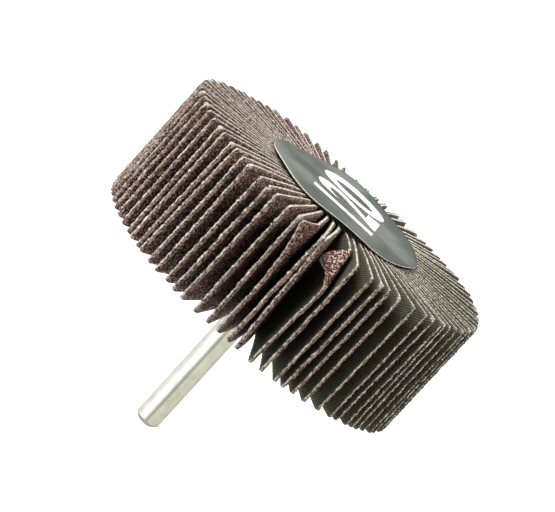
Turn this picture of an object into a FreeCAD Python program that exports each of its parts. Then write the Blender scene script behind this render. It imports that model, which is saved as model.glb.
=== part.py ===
import FreeCAD, Part
import math
import os

from FreeCAD import Placement, Rotation, Vector

# Mounted flap wheel. Lengths are in millimetres and angles in degrees.
# +Z runs along the axis towards the label. The origin is on the axis, in the plane of the
# flaps' rear edges, and the shank points down from there.

# Wheel
wheel_diameter = 80.0
wheel_width = 30.0

# Flaps, leaves of coated-abrasive cloth set on edge round the hub
flap_count = 80
flap_thickness = 0.9
flap_root_gap = 0.1
flap_corner_bevel = 0.9
flap_bend_radius = 30.0
first_flap_angle = -38.0
flaps_per_node = 2

# How far the tips of neighbouring flaps have been pushed round, repeated round the wheel
tip_leans = (0, 0, -1, -1, 0, -1, 0, -1, -1, -1, 0, -1, -0.5, -1, 0, 0, 0, 1.5, 0.5, 0.5)

# Leans of single flaps that have been pushed aside in use
pushed_leans = {8: 1, 10: -3.5, 11: 2, 13: 1, 15: -1, 16: -1.5, 18: 1.5, 19: 2, 20: 2}

# Flaps whose front corner has been folded over in use. Each fold is the length that it takes
# from the front edge and from the outer edge, and its angle. The first fold is outermost.
corner_folds = {
    8: ((4.5, 8.0, 18.0), (7.0, 16.0, 14.0)),
    11: ((6.0, 8.0, 94.0),),
}

# A fold is round at the middle of the cloth, and is built in steps of no more than this angle
fold_radius = 0.7
fold_step = 25.0

# Hub, resin cast round the flap roots and the shank's head
cheek_diameter = 36.0
cheek_thickness = 3.0
hub_rear_recess = 4.0
hub_front_rise = 0.4
bond_clearance = 0.05

# Shank, a turned steel pin with a grooved and knurled head
shank_diameter = 6.0
shank_free_length = 40.0
shank_tip_chamfer = 1.0
shank_end_cover = 5.0
neck_length = 2.0
neck_depth = 0.5
knurl_height = 0.25
knurl_teeth = 12
lock_groove_length = 2.5
lock_groove_depth = 0.6

# Label, a round leaf of printed paper, glued at its middle and lifting a little at its edge
label_diameter = 41.0
label_thickness = 0.3
label_offset = 0.5
label_edge_lift = 0.5
label_waves = ((1, -0.55, 0.05), (2, 0.3, -0.05), (3, 0.0, 0.12))
label_grid = 6

# Derived values
wheel_radius = wheel_diameter / 2
cheek_radius = cheek_diameter / 2
shank_radius = shank_diameter / 2
label_radius = label_diameter / 2
flap_pitch = 360.0 / flap_count
web_radius = flap_count * (flap_thickness + flap_root_gap) / (2 * math.pi)
hold_radius = cheek_radius + bond_clearance
hub_rear = hub_rear_recess
hub_front = wheel_width + hub_front_rise
tongue_rear = hub_rear + cheek_thickness
tongue_front = wheel_width - cheek_thickness
shank_tip = hub_rear - shank_free_length
head_top = hub_front - shank_end_cover
AXIS = Vector(0, 0, 1)
ORIGIN = Vector(0, 0, 0)


def polar(radius, angle, z=0.0):
    """Point at a distance from the axis and an angle from +X."""
    turn = math.radians(angle)
    return Vector(radius * math.cos(turn), radius * math.sin(turn), z)


def section(points):
    """Face in the XZ plane through (radius, height) points."""
    corners = [Vector(radius, 0, height) for radius, height in points]
    return Part.Face(Part.makePolygon(corners + corners[:1]))


def revolved(face):
    """Solid of a half-section turned once round the axis."""
    return face.revolve(ORIGIN, AXIS, 360)


def make_shank():
    """Clamping length with a bevelled tip, a neck at the hub, and a knurled head."""
    neck_radius = shank_radius - neck_depth
    groove_radius = shank_radius - lock_groove_depth
    knurl_bottom = hub_rear + neck_length
    groove_bottom = (knurl_bottom + head_top - lock_groove_length) / 2
    groove_top = groove_bottom + lock_groove_length
    turned = revolved(section([
        (0, shank_tip),
        (shank_radius - shank_tip_chamfer, shank_tip),
        (shank_radius, shank_tip + shank_tip_chamfer),
        (shank_radius, hub_rear),
        (neck_radius, hub_rear),
        (neck_radius, groove_bottom),
        (groove_radius, groove_bottom),
        (groove_radius, head_top),
        (0, head_top),
    ]))
    lower_knurl = knurl_band(knurl_bottom, groove_bottom)
    upper_knurl = knurl_band(groove_top, head_top)
    return turned.fuse([lower_knurl, upper_knurl])


def knurl_band(bottom, top):
    """Straight knurl: a star-shaped bar whose teeth stand a little proud of the shank."""
    outline = []
    for point in range(2 * knurl_teeth):
        height = knurl_height if point % 2 else -knurl_height
        outline.append(polar(shank_radius + height, point * 180.0 / knurl_teeth, bottom))
    face = Part.Face(Part.makePolygon(outline + outline[:1]))
    return face.extrude(AXIS * (top - bottom))


def make_core(shank):
    """Web and two cheeks in one casting, with the shank's head cast in."""
    blank = revolved(section([
        (0, hub_rear),
        (cheek_radius, hub_rear),
        (cheek_radius, tongue_rear),
        (web_radius, tongue_rear),
        (web_radius, tongue_front),
        (cheek_radius, tongue_front),
        (cheek_radius, hub_front),
        (0, hub_front),
    ]))
    return blank.cut(shank)


def flap_cutter():
    """Side view of a flap, cut straight across: a tongue for the hub and a leaf with bevelled tips."""
    face = section([
        (web_radius + bond_clearance, tongue_rear),
        (hold_radius, tongue_rear),
        (hold_radius, 0),
        (wheel_radius - flap_corner_bevel, 0),
        (wheel_radius, flap_corner_bevel),
        (wheel_radius, wheel_width - flap_corner_bevel),
        (wheel_radius - flap_corner_bevel, wheel_width),
        (hold_radius, wheel_width),
        (hold_radius, tongue_front),
        (web_radius + bond_clearance, tongue_front),
    ])
    room = wheel_radius
    face.translate(Vector(0, -room / 2, 0))
    return face.extrude(Vector(0, room, 0))


def leaf_course(lean):
    """Turn of a leaf at the hub, and its straight length, that bring its tip to the given lean."""
    reach = math.sqrt(wheel_radius ** 2 - (flap_thickness / 2) ** 2)
    tip = polar(reach, abs(lean)) - Vector(hold_radius, flap_bend_radius, 0)
    straight = math.sqrt(tip.Length ** 2 - flap_bend_radius ** 2)
    turn = math.atan2(tip.y, tip.x) + math.atan2(flap_bend_radius, straight)
    return math.degrees(turn), straight


def leaf_point(turn, along, side):
    """Point past the bend: after a turn, then straight on, and to the left by side."""
    angle = math.radians(turn)
    x = hold_radius + (flap_bend_radius - side) * math.sin(angle) + along * math.cos(angle)
    y = flap_bend_radius - (flap_bend_radius - side) * math.cos(angle) + along * math.sin(angle)
    return Vector(x, y, 0)


def flap_profile(lean):
    """End view of a flap: radial in the hub, one gentle bend, then a straight leaf."""
    half = flap_thickness / 2
    turn, straight = leaf_course(lean)
    root = web_radius - flap_thickness
    edges = [
        Part.makeLine(Vector(root, -half, 0), Vector(root, half, 0)),
        Part.makeLine(leaf_point(turn, straight, -half), leaf_point(turn, straight, half)),
    ]
    for side in (-half, half):
        hold = Vector(hold_radius, side, 0)
        if lean == 0:
            edges.append(Part.makeLine(Vector(root, side, 0), leaf_point(turn, straight, side)))
        else:
            bend = Part.Arc(hold, leaf_point(turn / 2, 0, side), leaf_point(turn, 0, side))
            edges.append(Part.makeLine(Vector(root, side, 0), hold))
            edges.append(bend.toShape())
            edges.append(Part.makeLine(leaf_point(turn, 0, side), leaf_point(turn, straight, side)))
    profile = Part.Face(Part.Wire(Part.__sortEdges__(edges)))
    if lean < 0:
        profile = profile.mirror(ORIGIN, Vector(0, 1, 0))
    return profile


def fold_corner(flap, lean, leg_radial, leg_axial, angle):
    """Fold the front outer corner over, towards the cloth side, in short mitred steps."""
    turn = leaf_course(lean)[0]
    bend_end = leaf_point(turn, 0, 0)
    side = -1 if lean < 0 else 1
    leaf = Placement(Vector(bend_end.x, side * bend_end.y, 0), Rotation(AXIS, side * turn))
    flat = flap.transformed(leaf.inverse().toMatrix())
    tip = flat.BoundBox.XMax
    inner = Vector(tip - leg_radial, 0, wheel_width)
    outer = Vector(tip, 0, wheel_width - leg_axial)
    line = (outer - inner).normalize()
    away = line.cross(Vector(0, 1, 0))
    reach = wheel_width
    steps = math.ceil(angle / fold_step)
    step_turn = angle / steps
    spacing = fold_radius * math.radians(step_turn)
    for step in range(steps):
        middle = (inner + outer) / 2 + away * spacing * ((steps - 1) / 2 - step)
        start, end = middle - line * reach, middle + line * reach
        outline = [start, end, end + away * reach, start + away * reach]
        outline = [point - Vector(0, reach, 0) for point in outline]
        beyond = Part.Face(Part.makePolygon(outline + outline[:1])).extrude(Vector(0, 2 * reach, 0))
        kept = flat.cut(beyond.rotated(middle, line, step_turn / 2))
        corner = flat.common(beyond.rotated(middle, line, -step_turn / 2))
        flat = kept.fuse(corner.rotated(middle, line, step_turn))
    edge_planes = Part.makeBox(tip + reach, 2 * reach, wheel_width, Vector(-reach, -reach, 0))
    return flat.common(edge_planes).removeSplitter().transformed(leaf.toMatrix())


def make_flap(cutter, lean, folds):
    """One flap with its root on +X: a T-shaped leaf of cloth, with any folded corner."""
    flap = flap_profile(lean).extrude(AXIS * wheel_width).common(cutter)
    for leg_radial, leg_axial, angle in folds:
        flap = fold_corner(flap, lean, leg_radial, leg_axial, angle)
    return flap.Solids[0]


def make_flaps():
    """All the flaps in order round the wheel. Plain flaps of one lean are copies of one shape."""
    cutter = flap_cutter()
    patterns = {}
    flaps = []
    for index in range(flap_count):
        lean = pushed_leans.get(index, tip_leans[index % len(tip_leans)])
        folds = corner_folds.get(index, ())
        if (lean, folds) not in patterns:
            patterns[(lean, folds)] = make_flap(cutter, lean, folds)
        flap = patterns[(lean, folds)].copy()
        flap.rotate(ORIGIN, AXIS, first_flap_angle - 90 + index * flap_pitch)
        flaps.append(flap)
    return flaps


def label_height(x, y):
    """Height of the label's underside: flat on the hub, with waves that grow to the edge."""
    share = math.hypot(x - label_offset, y) / label_radius
    angle = math.atan2(x - label_offset, -y)
    lift = label_edge_lift
    for order, cosine, sine in label_waves:
        lift += cosine * math.cos(order * angle) + sine * math.sin(order * angle)
    return hub_front + bond_clearance + lift * share ** 3


def make_label():
    """Wavy sheet cut to a circle."""
    step = 2.1 * label_radius / (label_grid - 1)
    places = [step * (index - (label_grid - 1) / 2) for index in range(label_grid)]
    heights = [[Vector(x, y, label_height(x, y)) for y in places] for x in places]
    surface = Part.BSplineSurface()
    surface.interpolate(heights)
    sheet = surface.toShape().extrude(AXIS * label_thickness)
    punch = Part.makeCylinder(label_radius, hub_front, Vector(label_offset, 0, hub_front / 2))
    return sheet.common(punch).Solids[0]


def export(node, shape):
    """Write one node and report what it holds."""
    shape.exportStep("parts/" + node + ".step")
    print(node, len(shape.Solids), "solids", round(shape.Volume, 2), "mm3", shape.isValid())


os.makedirs("parts", exist_ok=True)

shank = make_shank()
export("shank", shank)
export("resin_core", make_core(shank))
export("label", make_label())

flaps = make_flaps()
for start in range(0, flap_count, flaps_per_node):
    node = "flap_pair_{:02d}".format(start // flaps_per_node + 1)
    export(node, Part.makeCompound(flaps[start:start + flaps_per_node]))
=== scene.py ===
import math
import random

import bmesh
import bpy
from mathutils import Matrix, Vector, noise
from mathutils.bvhtree import BVHTree


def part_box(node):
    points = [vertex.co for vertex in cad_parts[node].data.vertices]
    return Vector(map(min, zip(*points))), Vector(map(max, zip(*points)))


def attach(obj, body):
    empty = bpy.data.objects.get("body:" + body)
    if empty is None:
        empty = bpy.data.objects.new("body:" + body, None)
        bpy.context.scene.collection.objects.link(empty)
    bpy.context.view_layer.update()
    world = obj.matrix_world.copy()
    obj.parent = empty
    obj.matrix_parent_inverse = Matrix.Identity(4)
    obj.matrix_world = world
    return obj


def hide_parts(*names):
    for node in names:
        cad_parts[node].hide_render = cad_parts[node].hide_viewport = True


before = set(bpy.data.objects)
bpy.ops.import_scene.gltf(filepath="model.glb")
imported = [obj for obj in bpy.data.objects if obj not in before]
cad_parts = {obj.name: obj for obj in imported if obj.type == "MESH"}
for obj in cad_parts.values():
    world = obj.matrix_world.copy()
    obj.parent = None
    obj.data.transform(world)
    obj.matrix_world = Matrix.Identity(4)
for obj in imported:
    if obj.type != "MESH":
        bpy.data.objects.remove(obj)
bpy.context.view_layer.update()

# The shank: a steel pin, turned with a bevelled tip, ground smooth and plated. Its plain length is
# clamped in a collet, and its knurled head is cast into the hub, so it is spun from the outline of
# the part that shows.
shank_radius = 0.003
shank_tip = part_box("shank")[0].z
shank_bevel = 0.001
shank_rounding = 0.0001
shank_seat = 0.0002
shank_steps = 96


class Wire:
    """A socket in a material's nodes. Arithmetic on it adds Math nodes."""

    def __init__(self, tree, socket=None):
        self.tree = tree
        self.socket = socket

    def node(self, kind, settings=None, inputs=None, output=0):
        """Add a node, with its settings first and then its sockets, and give one of its outputs."""
        made = self.tree.nodes.new("ShaderNode" + kind)
        for name, value in (settings or {}).items():
            if name == "stops":
                for place, colour in value:
                    stop = made.color_ramp.elements.new(place)
                    stop.color = colour
                made.color_ramp.elements.remove(made.color_ramp.elements[0])
                made.color_ramp.elements.remove(made.color_ramp.elements[-1])
            else:
                setattr(made, name, value)
        for name, value in (inputs or {}).items():
            if isinstance(value, Wire):
                self.tree.links.new(value.socket, made.inputs[name])
            else:
                made.inputs[name].default_value = value
        return Wire(self.tree, made.outputs[output] if made.outputs else None)

    def math(self, operation, *values):
        return self.node("Math", {"operation": operation}, dict(enumerate(values)))

    def __add__(self, other):
        return self.math("ADD", self, other)

    def __sub__(self, other):
        return self.math("SUBTRACT", self, other)

    def __rsub__(self, other):
        return self.math("SUBTRACT", other, self)

    def __mul__(self, other):
        return self.math("MULTIPLY", self, other)

    def __truediv__(self, other):
        return self.math("DIVIDE", self, other)

    def __rtruediv__(self, other):
        return self.math("DIVIDE", other, self)

    __radd__ = __add__
    __rmul__ = __mul__

    def sine(self):
        return self.math("SINE", self)

    def rise(self, low, high):
        """0 below low and 1 above high, with a smooth slope between them."""
        return self.node("MapRange", {"interpolation_type": "SMOOTHSTEP"},
                         {"Value": self, "From Min": low, "From Max": high})

    def tint(self, first, second):
        """First colour where this wire is 0, second where it is 1."""
        return self.node("Mix", {"data_type": "RGBA"}, {0: self, 6: first, 7: second}, output=2)

    def shifted(self, place):
        return self.node("VectorMath", {"operation": "ADD"}, {0: self, 1: place})

    def scaled(self, size):
        return self.node("VectorMath", {"operation": "MULTIPLY"}, {0: self, 1: size})


def new_finish(name):
    """Empty material, and a wire to add its nodes with."""
    finish = bpy.data.materials.new(name)
    finish.use_nodes = True
    finish.node_tree.nodes.clear()
    return finish, Wire(finish.node_tree)


def close_finish(start, **sockets):
    """Surface shader of a material, with its sockets named by words joined with underscores."""
    inputs = {name.replace("_", " "): value for name, value in sockets.items()}
    surface = start.node("BsdfPrincipled", inputs=inputs)
    start.node("OutputMaterial", inputs={"Surface": surface})


def finished_piece(name, mesh_source, *finishes):
    """Object at the origin from a bmesh, riding on the one body of the wheel."""
    mesh = bpy.data.meshes.new(name)
    mesh_source.to_mesh(mesh)
    mesh_source.free()
    piece = bpy.data.objects.new(name, mesh)
    bpy.context.scene.collection.objects.link(piece)
    for finish in finishes:
        mesh.materials.append(finish)
    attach(piece, "root")
    return piece


def spun(outline, steps):
    """Closed turned shape from (radius, height) points that start and end on the axis."""
    turned = bmesh.new()
    points = [turned.verts.new((radius, 0, height)) for radius, height in outline]
    edges = [turned.edges.new(pair) for pair in zip(points, points[1:])]
    bmesh.ops.spin(turned, geom=points + edges, cent=(0, 0, 0), axis=(0, 0, 1), angle=math.tau,
                   steps=steps, use_merge=True)
    bmesh.ops.remove_doubles(turned, verts=turned.verts, dist=1e-7)
    bmesh.ops.recalc_face_normals(turned, faces=turned.faces)
    return turned


hub_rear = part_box("resin_core")[0].z
pin = spun([
    (0, shank_tip),
    (shank_radius - shank_bevel - shank_rounding, shank_tip),
    (shank_radius - shank_bevel + shank_rounding, shank_tip + shank_rounding * 1.2),
    (shank_radius - shank_rounding * 0.8, shank_tip + shank_bevel - shank_rounding),
    (shank_radius, shank_tip + shank_bevel + shank_rounding),
    (shank_radius, shank_tip + 0.012),
    (shank_radius, hub_rear),
    (shank_radius - 0.0005, hub_rear + shank_seat),
    (0, hub_rear + shank_seat),
], shank_steps)
for face in pin.faces:
    face.smooth = abs(face.normal.z) < 0.5
for edge in pin.edges:
    if edge.is_manifold and edge.calc_face_angle() > 0.3:
        edge.smooth = False

plated_steel, start = new_finish("plated_steel")
place = start.node("TexCoord", output=3)
turning = start.node("TexNoise", inputs={"Vector": place.scaled((260, 260, 9000)), "Scale": 1.0,
                                         "Detail": 3.0})
wear = start.node("TexNoise", inputs={"Vector": place, "Scale": 420.0, "Detail": 4.0})
rings = start.node("Bump", inputs={"Strength": 0.12, "Distance": 0.00002, "Height": turning})
close_finish(start, Base_Color=wear.rise(0.35, 0.7).tint((0.60, 0.60, 0.555, 1), (0.52, 0.52, 0.475, 1)),
             Metallic=1.0, Roughness=0.10 + wear * 0.10 + turning * 0.04, Normal=rings)
pin_piece = finished_piece("plated_pin", pin, plated_steel)
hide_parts("shank")

# The hub: dark resin poured round the flaps' roots and the shank's head in one casting. Only its two
# round faces show, so the CAD solid stays and takes a cast finish with fine pits.
cast_resin, start = new_finish("cast_resin")
place = start.node("TexCoord", output=3)
flow = start.node("TexNoise", inputs={"Vector": place, "Scale": 180.0, "Detail": 5.0, "Roughness": 0.6})
pits = start.node("TexVoronoi", inputs={"Vector": place, "Scale": 900.0})
skin = start.node("Bump", inputs={"Strength": 0.5, "Distance": 0.0002,
                                  "Height": flow + pits.rise(0.05, 0.3) * 0.3})
close_finish(start, Base_Color=flow.rise(0.35, 0.7).tint((0.020, 0.018, 0.016, 1), (0.050, 0.043, 0.037, 1)),
             Roughness=0.38 + flow * 0.3, Normal=skin)
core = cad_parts["resin_core"]
core.data.materials.clear()
core.data.materials.append(cast_resin)

# The flaps: 80 leaves of abrasive cloth, woven cotton stiffened with resin and coated with grain on
# one side. They are punched to a T, and their narrow roots are cast into the hub. The cut edges are
# pale and frayed, the tips lean as the CAD's do, and use has pushed, bent and worn each a little.
flap_count = 80
first_flap = -38.0
flap_half = 0.00045
cloth_depth = 0.00038
root_reach = 0.0129
hold_reach = 0.01805
tip_reach = 0.04
flap_width = 0.03
tongue = (0.007, 0.027)
bend_radius = 0.03
twill_pitch = 0.00054
thread_pitch = 0.00062
blank_cells = (27, 30, 3)
fine_blank_cells = (68, 75, 0)
# Rolled front corners: each roll's legs along the radius and the axis, and its angle in degrees.
corner_folds = {
    8: ((0.0045, 0.0080, 18.0), (0.0070, 0.0160, 14.0)),
    11: ((0.0085, 0.0080, 88.0),),
}
fold_radius = 0.0007
millimetre = 0.001
# Millimetres that the tips of the flaps that show well stand off the CAD's, towards their grain, at
# their rear and front corners. The other flaps draw theirs at random.
free_rear_push = 0.4
free_front_push = 0.15
set_flaps = list(range(71, 80)) + list(range(21))
rear_pushes = dict(zip(set_flaps, (
    -0.2, -0.4, 0.8, 0.9, 1.3, 1.6, 1.0, 0.7, 0.5,
    -0.5, -0.2, 0.3, 0.3, -0.7, -0.5, -0.3, 0.6, -1.1, 0.2, 1.2, -1.7,
    0.1, -0.4, -0.5, -0.3, 0.4, -0.6, 0.4, -0.9, -0.4)))
front_pushes = dict(zip(set_flaps, (
    -0.6, -0.8, 0.2, 0.6, 1.1, 1.6, 0.8, 0.7, 1.2,
    0.6, 0.2, 0.2, 1.0, -0.1, 0.0, -0.3, 0.3, -0.5, 0.5, -0.2, 0.0,
    0.2, 0.3, 0.6, 0.5, 0.9, 0.1, 1.2, 0.6, 0.6)))
# Millimetres that flaps belly towards their grain between hub and tip. These bumps, and the ones for
# longer flaps and for flaps that sit higher, are given round the wheel by angle, spread and height.
bulges = ((-50, 22, -2.1), (-25, 12, -0.35), (45, 38, 1.8), (20, 10, 0.5))
rear_bulges = {8: 1.9, 9: 2.2, 10: 1.8}
belly_start = 0.1
belly_power = 1.7
growths = ((-97, 15, 0.0007),)
settling = ((120, 24, 0.0009), (180, 12, -0.0007), (-145, 10, 0.0003), (-25, 60, -0.0003))
rear_slope = 0.0005
wave_height = 0.0002
ripple_height = 0.00007
# Rear and front radius of worn tip corners in millimetres, and a hollow worn into one tip.
worn_corners = {3: (1.5, 0.5), 6: (0.9, 0.7), 7: (1.6, 0.6), 8: (2.2, 0.6), 9: (1.8, 0.5),
                10: (1.8, 2.6), 11: (0.4, 3.0), 16: (0.4, 2.2)}
worn_flap = 11
hollow_middle = 0.0258
hollow_spread = 0.0022
hollow_depth = 0.0013
hollow_reach = 0.008
fray_depth = 0.00012
grain_chip = 0.00025
fibre_count = 90
fibre_length = (0.00025, 0.0006)
fibre_radius = (0.00006, 0.00011)
tuft_inset = (0.0002, 0.0007)


def swell(angle, bumps):
    """Sum of smooth bumps at an angle, each given by its middle, spread and height."""
    return sum(height * math.exp(-(((angle - middle + 180) % 360 - 180) / spread) ** 2)
               for middle, spread, height in bumps)


def leaf_blank(cells_along, cells_wide, edge_cuts):
    """Flat leaf of three layers, with finer cells along the cut edges that show."""
    leaf = bmesh.new()
    flat = leaf.verts.layers.float_vector.new("flat")
    rim = leaf.verts.layers.float.new("rim")
    leaf.verts.layers.float.new("own")
    place = Matrix.Translation(((tip_reach + root_reach) / 2, -flap_half, flap_width / 2))
    place = place @ Matrix.Rotation(math.pi / 2, 4, "X")
    place = place @ Matrix.Diagonal((tip_reach - root_reach, flap_width, 1, 1))
    bmesh.ops.create_grid(leaf, x_segments=cells_along, y_segments=cells_wide, size=0.5, matrix=place)
    cuts = [((hold_reach, 0, 0), (1, 0, 0))] + [((0, 0, height), (0, 0, 1)) for height in tongue]
    for spot, across in cuts:
        bmesh.ops.bisect_plane(leaf, geom=leaf.verts[:] + leaf.edges[:] + leaf.faces[:], dist=1e-7,
                               plane_co=spot, plane_no=across)
    waste = [face for face in leaf.faces if face.calc_center_median().x < hold_reach
             and not tongue[0] < face.calc_center_median().z < tongue[1]]
    bmesh.ops.delete(leaf, geom=waste, context="FACES")
    edges = [edge for edge in leaf.edges if edge.is_boundary
             and min(edge.verts[0].co.x, edge.verts[1].co.x) > hold_reach - 1e-6
             and max(edge.verts[0].co.x, edge.verts[1].co.x) > hold_reach + 1e-5]
    bmesh.ops.subdivide_edges(leaf, edges=edges, cuts=edge_cuts)
    for vert in leaf.verts:
        if vert.is_boundary and vert.co.x > hold_reach + 0.0001:
            vert[rim] = 1.0
    faces = leaf.faces[:]
    for layer, rise in enumerate((cloth_depth, 2 * flap_half - cloth_depth)):
        grown = bmesh.ops.extrude_face_region(leaf, geom=faces, use_keep_orig=layer == 0)["geom"]
        faces = [item for item in grown if isinstance(item, bmesh.types.BMFace)]
        lifted = [item for item in grown if isinstance(item, bmesh.types.BMVert)]
        bmesh.ops.translate(leaf, verts=lifted, vec=(0, rise, 0))
    bmesh.ops.recalc_face_normals(leaf, faces=leaf.faces)
    for vert in leaf.verts:
        vert[flat] = vert.co
    return leaf


def corner_radii(seed):
    """Rear and front radius of a flap's worn tip corners."""
    dice = random.Random(seed + 3000)
    drawn = (dice.uniform(0.3, 1.0), dice.uniform(0.3, 1.0))
    return [millimetre * radius for radius in worn_corners.get(seed, drawn)]


def worn(spot, seed, radii):
    """Place of a point of a flat leaf when its tip corners are rounded, and one tip is worn hollow."""
    spot = spot.copy()
    side = 1 if spot.z > flap_width / 2 else -1
    radius = radii[side > 0]
    across = spot.x - (tip_reach - radius)
    along = side * (spot.z - flap_width / 2) - (flap_width / 2 - radius)
    reach = math.hypot(across, along)
    if across > 0 and along > 0 and reach > radius:
        spot.x += across * (radius / reach - 1)
        spot.z += side * along * (radius / reach - 1)
    if seed == worn_flap:
        hollow = math.exp(-((spot.z - hollow_middle) / hollow_spread) ** 2)
        spot.x -= hollow_depth * hollow * max(0, (spot.x - tip_reach) / hollow_reach + 1)
    return spot


def frayed(leaf, seed):
    """Wear the tip, fray the cut edges and chip the grain back from them."""
    rim = leaf.verts.layers.float["rim"]
    dice = random.Random(seed)
    radii = corner_radii(seed)
    for vert in leaf.verts:
        if vert.co.x < hold_reach + 0.0001:
            continue
        flat_spot = vert.co.copy()
        side = 1 if flat_spot.z > flap_width / 2 else -1
        vert.co = worn(flat_spot, seed, radii)
        if vert[rim]:
            spot = Vector((vert.co.x * 700, vert.co.y * 900 + seed * 3.1, vert.co.z * 700))
            fray = fray_depth * noise.noise(spot) + dice.uniform(-fray_depth, fray_depth)
            if vert.co.y > 0.0003:
                fray -= grain_chip + grain_chip * 1.2 * noise.noise(spot * 2.1 + Vector((4, 4, 4)))
            at_tip = flat_spot.x > tip_reach - 0.0001
            if at_tip:
                vert.co.x += fray
            if abs(flat_spot.z - flap_width / 2) > flap_width / 2 - 0.0001:
                vert.co.z += side * fray * 0.2
            vert.co.y += (0.00022 if at_tip else 0.00008) * noise.noise(spot * 1.9 + Vector((9, 2, 5)))
            vert.co.y += dice.uniform(-0.0001, 0.0001) if at_tip else dice.uniform(-0.00004, 0.00004)
        elif vert.co.y > 0:
            vert.co.y += dice.uniform(-0.00006, 0.00006)


def add_fibres(leaf, seed, count):
    """Loose threads along the cut edges, each a thin closed spike."""
    flat = leaf.verts.layers.float_vector["flat"]
    rim = leaf.verts.layers.float["rim"]
    dice = random.Random(seed + 1000)
    tuft = dice.choice((0.02, 0.05, 0.14))
    radii = corner_radii(seed)
    for _ in range(count):
        spot = dice.random()
        if spot < tuft:
            root = Vector((tip_reach - dice.uniform(*tuft_inset), 0, flap_width - dice.uniform(*tuft_inset)))
            out = Vector((0.7, 0, 0.7))
        elif spot < 0.8:
            root = Vector((tip_reach - 0.0002, 0, dice.uniform(0.0008, flap_width - 0.0008)))
            out = Vector((1, 0, 0))
        elif spot < 0.84:
            root = Vector((dice.uniform(hold_reach + 0.001, tip_reach - 0.0006), 0, flap_width - 0.0003))
            out = Vector((1, 0, 0.4))
        else:
            root = Vector((dice.uniform(hold_reach + 0.003, tip_reach - 0.0006), 0, 0.0002))
            out = Vector((0, 0, -1))
        root.y = dice.uniform(-flap_half, -flap_half + cloth_depth)
        root = worn(root, seed, radii)
        out += Vector([dice.uniform(-0.9, 0.9) for _ in range(3)])
        length = dice.uniform(*fibre_length) * (1.6 if dice.random() < 0.08 else 1)
        turn = out.to_track_quat("Z", "Y").to_matrix().to_4x4()
        place = Matrix.Translation(root + out.normalized() * length * 0.4) @ turn
        made = bmesh.ops.create_cone(leaf, cap_ends=True, segments=3, radius1=dice.uniform(*fibre_radius),
                                     radius2=0, depth=length, matrix=place)
        for vert in made["verts"]:
            vert[flat] = Vector((root.x, -flap_half + 0.0003, root.z))
            vert[rim] = 1.0


def folded(spot, legs):
    """Place of a point of a flat leaf after its front outer corner has been rolled over."""
    for leg_radial, leg_axial, angle in legs:
        inner = Vector((tip_reach - leg_radial, 0, flap_width))
        outer = Vector((tip_reach, 0, flap_width - leg_axial))
        line = (outer - inner).normalized()
        away = line.cross(Vector((0, 1, 0)))
        arc = fold_radius * math.radians(angle)
        beyond = (spot - inner).dot(away) + arc * 0.5
        if beyond <= 0:
            continue
        base = spot - away * beyond
        depth = fold_radius + spot.y
        turn = min(beyond / fold_radius, math.radians(angle))
        rest = max(beyond - arc, 0)
        base.y = 0
        base += away * (depth * math.sin(turn) + rest * math.cos(turn))
        base.y = -fold_radius + depth * math.cos(turn) - rest * math.sin(turn)
        spot = base
    return spot


def leaf_bend(lean):
    """Turn of a leaf at the hub that brings its tip to a lean."""
    reach = math.sqrt(tip_reach ** 2 - flap_half ** 2)
    tip = Vector((reach * math.cos(abs(lean)) - hold_reach, reach * math.sin(abs(lean)) - bend_radius))
    straight = math.sqrt(tip.length ** 2 - bend_radius ** 2)
    return math.atan2(tip.y, tip.x) + math.atan2(bend_radius, straight)


def laid(leaf, seed, angle, lean, legs):
    """Move a finished flat leaf to its place: folded, pushed and bellied, bent at the hub and turned."""
    turn = leaf_bend(lean)
    hand = -1 if lean < 0 else 1
    spin = Matrix.Rotation(math.radians(angle - 90), 3, "Z")
    dice = random.Random(seed + 2000)
    rear = rear_pushes.get(seed, dice.uniform(-free_rear_push, free_rear_push)) * millimetre
    front = front_pushes.get(seed, dice.uniform(-free_front_push, free_front_push)) * millimetre
    settled = dice.uniform(-0.00004, 0.00004) + swell(angle, settling)
    front_bulge = swell(angle, bulges)
    rear_bulge = rear_bulges.get(seed, front_bulge)
    for vert in leaf.verts:
        spot = folded(vert.co, legs)
        past = spot.x - hold_reach
        if past > 0:
            share = min(past / (tip_reach - hold_reach), 1)
            spot.z -= rear_slope * (share - 0.7) / 0.3 * (1 - spot.z / flap_width)
            wave = wave_height * noise.noise(Vector((spot.x * 40, seed * 5.7, spot.z * 60)))
            wave += ripple_height * noise.noise(Vector((spot.x * 200, seed * 2.3, spot.z * 260)))
            forward = spot.z / flap_width
            belly = (1 - share ** belly_power) * (1 - math.exp(-share / belly_start))
            spot.x += swell(angle, growths) * share
            past = spot.x - hold_reach
            spot.y += (wave + rear + (front - rear) * forward) * share
            spot.y += (rear_bulge + (front_bulge - rear_bulge) * forward) * belly * millimetre
            side = hand * spot.y
            bend = min(past / bend_radius, turn)
            along = max(past - bend_radius * turn, 0)
            spot.x = hold_reach + (bend_radius - side) * math.sin(bend) + along * math.cos(bend)
            spot.y = hand * (bend_radius - (bend_radius - side) * math.cos(bend) + along * math.sin(bend))
        vert.co = spin @ spot + Vector((0, 0, settled))


def tip_leans(node, roots):
    """Leans of the two flaps in a CAD node, read at the rear corners of their tips."""
    turns = []
    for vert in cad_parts[node].data.vertices:
        if vert.co.z < 0.01 and math.hypot(vert.co.x, vert.co.y) > tip_reach - 0.0002:
            turn = math.degrees(math.atan2(vert.co.x, -vert.co.y))
            turns.append((turn - roots[0] + 180) % 360 - 180)
    half = math.degrees(flap_half / tip_reach)
    return min(turns) + half, max(turns) - half + roots[0] - roots[1]


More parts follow.
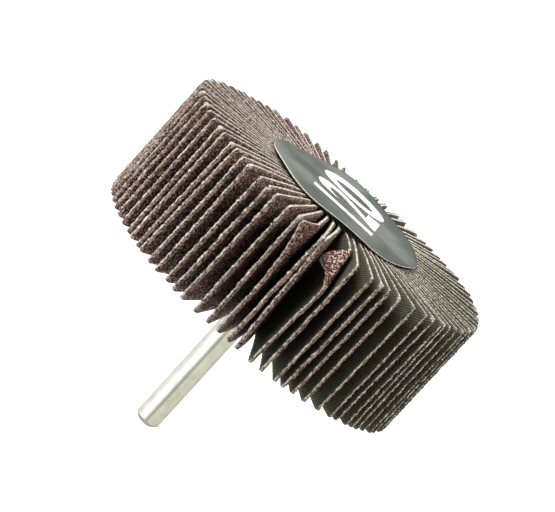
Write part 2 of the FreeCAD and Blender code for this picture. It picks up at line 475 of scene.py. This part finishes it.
abrasive_cloth, start = new_finish("abrasive_cloth")
flat = start.node("Attribute", {"attribute_name": "flat"}, output=1)
own = start.node("Attribute", {"attribute_name": "own"}, output=2)
rim = start.node("Attribute", {"attribute_name": "rim"}, output=2)
shift = start.node("CombineXYZ", inputs={"X": own * 0.37, "Y": 0.0, "Z": own * 0.91})
spot = flat.shifted(shift)
depth = start.node("SeparateXYZ", inputs={"Vector": flat}, output=1) + flap_half
broad = start.node("TexNoise", inputs={"Vector": spot, "Scale": 160.0, "Detail": 3.0})
fine = start.node("TexNoise", inputs={"Vector": spot, "Scale": 1500.0, "Detail": 3.0, "Roughness": 0.6})
speckle = start.node("TexNoise", inputs={"Vector": spot, "Scale": 3000.0, "Detail": 2.0})
grit = start.node("TexVoronoi", inputs={"Vector": spot, "Scale": 3500.0})
grit_tone = start.node("SeparateColor", inputs={"Color": start.node(
    "TexVoronoi", inputs={"Vector": spot, "Scale": 3500.0}, output=1)})
along = start.node("SeparateXYZ", inputs={"Vector": flat})
across = start.node("SeparateXYZ", inputs={"Vector": flat}, output=2)
twill = (across * 0.888 - along * 0.459 + broad * 0.0002) * (math.tau / twill_pitch)
thread = (along * 0.888 + across * 0.459) * (math.tau / thread_pitch)
weave = twill.sine() * 0.28 + (thread + twill * 0.5).sine() * 0.15 + 0.5

# Lighter grain on the rolled corner of the worn flap: partly creased grain, partly painted light.
past_ear = own.rise((worn_flap + 0.4) / flap_count, (worn_flap + 0.6) / flap_count)
folded_ear = own.rise((worn_flap - 0.6) / flap_count, (worn_flap - 0.4) / flap_count) * (1 - past_ear)
folded_ear = folded_ear * across.rise(0.018, 0.024)
# Painted light: the front cut faces of a run of flaps are lightened, as though the lamps lit them more.
painted_light_side = own.rise(0.30, 0.44) * (1 - own.rise(0.62, 0.74))
# Grain colour: a random tone for each grain, with painted shade towards each grain's edge and its brightest
# grains as painted glints.
grain_with_painted_light = start.node("ValToRGB", {"stops": [
    (0.00, (0.022, 0.007, 0.004, 1)),
    (0.25, (0.047, 0.013, 0.008, 1)),
    (0.45, (0.095, 0.031, 0.021, 1)),
    (0.62, (0.210, 0.098, 0.075, 1)),
    (0.78, (0.640, 0.510, 0.450, 1)),
]}, {"Fac": grit_tone * 0.85 + fine * 0.35 - grit * 0.45 + folded_ear * 0.05})
# Painted shade: grain faces near the front edge of a run of flaps are darkened, as the shade in the gaps
# between them.
painted_gap_shade = own.rise(0.66, 0.76) * across.rise(0.020, 0.0290)
grain_with_painted_light = (painted_gap_shade * 0.45).tint(grain_with_painted_light, (0.045, 0.026, 0.019, 1))
grain_edge = (speckle * 0.7 + fine * 0.5).rise(0.48, 0.72).tint(
    (0.030, 0.013, 0.009, 1), (0.310, 0.210, 0.170, 1))
back_colour = (weave * 0.6 + fine * 0.4).rise(0.3, 0.9).tint(
    (0.024, 0.022, 0.014, 1), (0.110, 0.100, 0.066, 1))
cloth_cut = (speckle * 0.6 + fine * 0.6).rise(0.44, 0.70).tint(
    (0.055, 0.040, 0.030, 1), (0.58, 0.525, 0.445, 1))
cut_colour = (depth + (fine + speckle) * 0.0002).rise(0.00050, 0.00064).tint(cloth_cut, grain_edge)
face_cut = (speckle * 0.8 + fine * 0.4).rise(0.45, 0.70).tint(
    (0.036, 0.027, 0.020, 1), (0.540, 0.500, 0.400, 1))
face_cut = (painted_light_side * 0.4).tint(face_cut, (0.58, 0.55, 0.48, 1))
face_cut = depth.rise(0.00045, 0.00065).tint(face_cut, (0.040, 0.024, 0.018, 1))
cut_colour = across.rise(0.0290, 0.0296).tint(cut_colour, face_cut)
dusted = (rim * 0.8 + fine * 1.0).rise(1.0, 1.45)
side_colour = depth.rise(0.00040, 0.00060).tint(back_colour, grain_with_painted_light)
side_colour = (dusted * 0.25).tint(side_colour, (0.33, 0.28, 0.24, 1))
tuft = along.rise(0.0384, 0.0397) * across.rise(0.0286, 0.0298) * (own * 1300).sine().rise(0.2, 0.7)
cut_mask = depth.rise(0.00001, 0.00005) * (1 - depth.rise(0.00083, 0.00089))
colour = cut_mask.tint(side_colour, cut_colour)
colour = (tuft * speckle.rise(0.40, 0.55) * 0.8).tint(colour, (0.62, 0.60, 0.53, 1))
relief = depth.rise(0.0003, 0.0005) * (1 - grit) + (1 - depth.rise(0.0, 0.0001)) * weave * 0.35 + fine * 0.5
rough = start.node("Bump", inputs={"Strength": 0.7, "Distance": 0.00025, "Height": relief})
close_finish(start, Base_Color=colour, Roughness=0.8 - depth.rise(0.0006, 0.0008) * grit_tone * 0.35,
             Normal=rough, Specular_IOR_Level=0.3)

blank = leaf_blank(*blank_cells)
fine_blank = leaf_blank(*fine_blank_cells)
for pair in range(flap_count // 2):
    node = "flap_pair_%02d" % (pair + 1)
    numbers = (2 * pair, 2 * pair + 1)
    roots = [first_flap + number * 360 / flap_count for number in numbers]
    both = bmesh.new()
    for number, root, lean in zip(numbers, roots, tip_leans(node, roots)):
        legs = corner_folds.get(number, ())
        leaf = (fine_blank if legs else blank).copy()
        frayed(leaf, number)
        add_fibres(leaf, number, fibre_count)
        number_layer = leaf.verts.layers.float["own"]
        for vert in leaf.verts:
            vert[number_layer] = number / flap_count
        for face in leaf.faces:
            face.smooth = len({round(vert.co.y * 2000) for vert in face.verts}) == 1
        laid(leaf, number, root, math.radians(lean), legs)
        sheet = bpy.data.meshes.new("leaf")
        leaf.to_mesh(sheet)
        leaf.free()
        both.from_mesh(sheet)
        bpy.data.meshes.remove(sheet)
    piece = finished_piece("cloth_flaps_%02d" % (pair + 1), both, abrasive_cloth)
    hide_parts(node)
blank.free()
fine_blank.free()

# The label: a round leaf of coated paper, printed grey and glued over the hub, so that its edge
# stands off in soft waves. It is laid on the CAD label's surface, and carries a plain number.
label_radius = 0.0205
label_offset = Vector((0.0005, 0, 0))
label_paper_depth = 0.00022
label_rings = 14
label_steps = 96
# Soft waves of the rim by their count round it, and two dips by angle, spread and height.
label_ripples = ((4, 0.00017, 0.0), (5, 0.0, 0.00007), (6, 0.00015, 0.00017))
label_dips = ((-118, 28, -0.0008), (5, 45, -0.0003))


def surface_tree(node):
    """The CAD label's upper surface, to drop things on."""
    copy = bmesh.new()
    copy.from_mesh(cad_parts[node].data)
    tree = BVHTree.FromBMesh(copy)
    copy.free()
    return tree


label_face = surface_tree("label")


def dropped(spot, above):
    """Point straight over or under a spot, on the label, with ripples and a small height added."""
    out = Vector((spot.x, spot.y, 0)) - label_offset
    pull = min(1.0, (label_radius - 0.00002) / max(out.length, 1e-9))
    inside = label_offset + out * pull
    hit = label_face.ray_cast(Vector((inside.x, inside.y, 0.06)), Vector((0, 0, -1)))[0]
    angle = math.atan2(out.x, -out.y)
    for order, cosine, sine in label_ripples:
        ripple = cosine * math.cos(order * angle) + sine * math.sin(order * angle)
        above += ripple * (out.length / label_radius) ** 4
    above += swell(math.degrees(angle), label_dips) * (out.length / label_radius) ** 3
    return Vector((spot.x, spot.y, hit.z + above))


paper = spun([(label_radius * ring / label_rings, 0) for ring in range(label_rings + 1)], label_steps)
if sum(face.normal.z for face in paper.faces) < 0:
    bmesh.ops.reverse_faces(paper, faces=paper.faces)
for vert in paper.verts:
    vert.co = dropped(vert.co + label_offset, 0)
for face in paper.faces:
    face.smooth = True

label_print, start = new_finish("label_print")
place = start.node("TexCoord", output=3)
tone = start.node("TexNoise", inputs={"Vector": place, "Scale": 90.0, "Detail": 2.0})
speck = start.node("TexVoronoi", inputs={"Vector": place, "Scale": 420.0})
scuff = start.node("TexNoise", inputs={"Vector": place, "Scale": 700.0, "Detail": 4.0})
ink = tone.rise(0.35, 0.65).tint((0.054, 0.063, 0.054, 1), (0.118, 0.131, 0.114, 1))
ink = ((1 - speck.rise(0.03, 0.06)) * scuff.rise(0.5, 0.6)).tint(ink, (0.62, 0.62, 0.58, 1))
grainy = start.node("Bump", inputs={"Strength": 0.15, "Distance": 0.00005, "Height": scuff})
close_finish(start, Base_Color=ink, Roughness=0.34 + scuff * 0.15, Normal=grainy)
paper_edge, start = new_finish("paper_edge")
place = start.node("TexCoord", output=3)
fuzz = start.node("TexNoise", inputs={"Vector": place, "Scale": 2400.0, "Detail": 3.0})
close_finish(start, Base_Color=fuzz.rise(0.3, 0.7).tint((0.46, 0.44, 0.36, 1), (0.74, 0.72, 0.63, 1)),
             Roughness=0.8)
label_piece = finished_piece("printed_label", paper, label_print, paper_edge)
wall = label_piece.modifiers.new("paper", "SOLIDIFY")
wall.thickness = label_paper_depth
wall.offset = -1
wall.material_offset = 1
wall.material_offset_rim = 1
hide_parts("label")

# The number on the label: the size of the grain, printed in white ink. It is a thin film that
# follows the paper.
number_height = 0.0165
number_lift = 0.00003
number_weight = 0.0006
number_width = 0.82
cell_size = 0.0015
number_middle = Matrix.Translation((0.0017, 0.0026, 0))
typed = bpy.data.curves.new("grit_number", "FONT")
typed.body = "120"
typed.align_x = "CENTER"
typed.align_y = "CENTER"
typed.size = number_height / 0.72
typed.offset = number_weight
typed.resolution_u = 6
typing = bpy.data.objects.new("grit_number_text", typed)
bpy.context.scene.collection.objects.link(typing)
bpy.context.view_layer.update()
figures = bmesh.new()
figures.from_mesh(typing.to_mesh())
bpy.data.objects.remove(typing)
bmesh.ops.transform(figures, verts=figures.verts, matrix=number_middle
                    @ Matrix.Rotation(math.pi / 2, 4, "Z") @ Matrix.Diagonal((number_width, 1, 1, 1)))
for index in range(-12, 13):
    for across in ((1, 0, 0), (0, 1, 0)):
        bmesh.ops.bisect_plane(figures, geom=figures.verts[:] + figures.edges[:] + figures.faces[:],
                               plane_co=Vector(across) * index * cell_size, plane_no=across)
for vert in figures.verts:
    vert.co = dropped(vert.co, number_lift)
for face in figures.faces:
    face.smooth = True
white_ink, start = new_finish("white_ink")
place = start.node("TexCoord", output=3)
patchy = start.node("TexNoise", inputs={"Vector": place, "Scale": 900.0, "Detail": 4.0})
close_finish(start, Base_Color=patchy.rise(0.25, 0.5).tint((0.50, 0.51, 0.48, 1), (0.66, 0.67, 0.63, 1)),
             Roughness=0.42)
number_piece = finished_piece("printed_number", figures, white_ink)

# The studio: a pale floor well under the wheel, its far part glowing as painted light, a pale surround,
# and large soft lamps. The camera looks at the photo's angle, from the front and a little above,
# rolled so that the shank points to the lower left.
camera_focal = 3412.0
image_width = 555.0
camera_rise = math.radians(11.92)
camera_roll = math.radians(42.28)
camera_distance = 0.748
camera_right = 0.0057
camera_up = 0.01054
floor_height = -0.2
floor_reach = 9.0
surround_strength = 0.30
toward = Vector((0, -math.cos(camera_rise), math.sin(camera_rise)))
level = Vector((1, 0, 0))
upright = toward.cross(level)
right = level * math.cos(camera_roll) + upright * math.sin(camera_roll)
up = upright * math.cos(camera_roll) - level * math.sin(camera_roll)
eye = toward * camera_distance + right * camera_right + up * camera_up
lens = bpy.data.cameras.new("camera")
lens.sensor_fit = "HORIZONTAL"
lens.sensor_width = 36
lens.lens = camera_focal / image_width * 36
lens.clip_start = 0.05
lens.clip_end = 50
camera = bpy.data.objects.new("camera", lens)
camera.matrix_world = Matrix((
    (right.x, up.x, toward.x, eye.x),
    (right.y, up.y, toward.y, eye.y),
    (right.z, up.z, toward.z, eye.z),
    (0, 0, 0, 1),
))
bpy.context.scene.collection.objects.link(camera)
bpy.context.scene.camera = camera

ground = bmesh.new()
bmesh.ops.create_grid(ground, x_segments=8, y_segments=8, size=floor_reach,
                      matrix=Matrix.Translation((0, 0, floor_height)))
floor_mesh = bpy.data.meshes.new("floor")
ground.to_mesh(floor_mesh)
ground.free()
floor = bpy.data.objects.new("floor", floor_mesh)
bpy.context.scene.collection.objects.link(floor)
pale_floor, start = new_finish("pale_floor")
place = start.node("TexCoord", output=3)
mottle = start.node("TexNoise", inputs={"Vector": place, "Scale": 3.0})
behind = start.node("SeparateXYZ", inputs={"Vector": place}, output=1)
# Painted light: the floor glows beyond the wheel, standing in for a lit backdrop.
close_finish(start, Base_Color=mottle.tint((0.90, 0.90, 0.90, 1), (0.93, 0.93, 0.93, 1)), Roughness=0.9,
             Emission_Color=behind.rise(0.1, 0.3).tint((0, 0, 0, 1), (1, 1, 1, 1)), Emission_Strength=0.9)
floor_mesh.materials.append(pale_floor)

world = bpy.data.worlds.new("surround")
bpy.context.scene.world = world
world.use_nodes = True
world.node_tree.nodes["Background"].inputs["Color"].default_value = (1, 1, 1, 1)
world.node_tree.nodes["Background"].inputs["Strength"].default_value = surround_strength
bpy.context.scene.view_settings.view_transform = "Standard"


def add_lamp(name, spot, size, power):
    """Square soft lamp that faces the wheel."""
    light = bpy.data.lights.new(name, "AREA")
    light.shape = "SQUARE"
    light.size = size
    light.energy = power
    lamp = bpy.data.objects.new(name, light)
    lamp.matrix_world = Matrix.Translation(spot) @ Vector(spot).to_track_quat("Z", "Y").to_matrix().to_4x4()
    lamp.visible_camera = False
    bpy.context.scene.collection.objects.link(lamp)


add_lamp("key_lamp", up * 1.0 + toward * 0.22, 0.5, 17.0)
add_lamp("right_lamp", right * 0.9 + up * 0.35 + toward * 0.30, 0.4, 10.0)
add_lamp("left_lamp", toward * 0.6 - right * 0.7 + up * 0.5, 0.5, 3.6)

# A wide bowl of glowing card round and under the wheel, a painted reflection seen only in the polished
# pin: white to the left, a dark strip in front, beige to the right and grey below. Its tones change with the
# angle and height.
card_reach = 0.5
card_floor = -0.195
card_top = -0.02
card_glow = 2.2
card = spun([(0, card_floor), (card_reach, card_floor), (card_reach, card_top)], 72)
card_mesh = bpy.data.meshes.new("shade_card")
card.to_mesh(card_mesh)
card.free()
shade_card = bpy.data.objects.new("shade_card", card_mesh)
bpy.context.scene.collection.objects.link(shade_card)
painted_reflection_card, start = new_finish("painted_reflection_card")
place = start.node("TexCoord", output=3)
to_right = start.node("SeparateXYZ", inputs={"Vector": place})
ahead = start.node("SeparateXYZ", inputs={"Vector": place}, output=1) * -1
turned = to_right.math("ARCTAN2", to_right, ahead) / math.tau + 0.5
tones = start.node("ValToRGB", {"stops": [
    (0.5 + angle / 360, (tone, tone, tone * blue, 1)) for angle, tone, blue in (
        (-178, 0.42, 0.95), (-140, 0.50, 0.97), (-118, 0.58, 0.98), (-96, 0.64, 0.98), (-74, 0.78, 1.0),
        (-58, 0.98, 1.0), (-27, 0.96, 0.98), (-17, 0.78, 0.98), (-9, 0.52, 0.95), (-1, 0.30, 0.90),
        (7, 0.24, 0.88), (14, 0.36, 0.85), (21, 0.50, 0.85), (34, 0.53, 0.84), (58, 0.49, 0.82),
        (95, 0.48, 0.84), (112, 0.43, 0.88), (130, 0.36, 0.94), (155, 0.36, 0.95))
]}, {"Fac": turned})
height = start.node("SeparateXYZ", inputs={"Vector": place}, output=2)
tones = height.rise(card_floor + 0.001, card_floor + 0.01).tint((0.30, 0.30, 0.27, 1), tones)
close_finish(start, Base_Color=(0, 0, 0, 1), Roughness=1.0, Emission_Color=tones, Emission_Strength=card_glow)
card_mesh.materials.append(painted_reflection_card)
shade_card.visible_camera = False
shade_card.visible_diffuse = False
shade_card.visible_shadow = False
